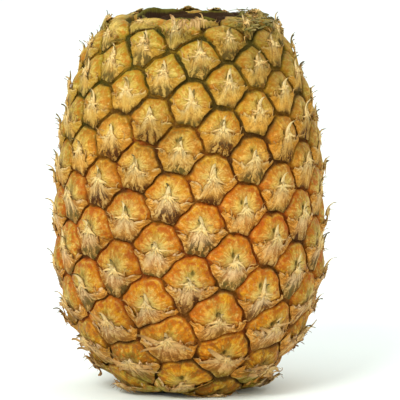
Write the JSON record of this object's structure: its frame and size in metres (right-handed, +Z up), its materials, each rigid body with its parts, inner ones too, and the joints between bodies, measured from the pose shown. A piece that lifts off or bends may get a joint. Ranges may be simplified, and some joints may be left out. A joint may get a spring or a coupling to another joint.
{
  "type": "pineapple with its crown removed",
  "caption": "Whole ripe pineapple standing on its base, with spirals of raised eyes under papery spined bracts; its crown of leaves is taken off.",
  "frame": {"origin": "centre of the stalk's cut end, in the middle of the base, on the surface that the fruit stands on", "axes": "+Z up along the fruit's axis towards the crown; -Y is the side that is seen from the front"},
  "size_m": [0.1374, 0.137, 0.1848],
  "materials": {
    "skin": "waxy rind, yellow-green at the top to orange-gold at the base, with cream papery bracts",
    "crown_leaf": "olive-green cut leaf bases, brown and dry at their edges",
    "stalk": "dry fibrous cut end"
  },
  "bodies": {
    "root": {"fruit": "skin", "crown_stub": "crown_leaf", "stalk_stub": "stalk"}
  },
  "joints": []
}
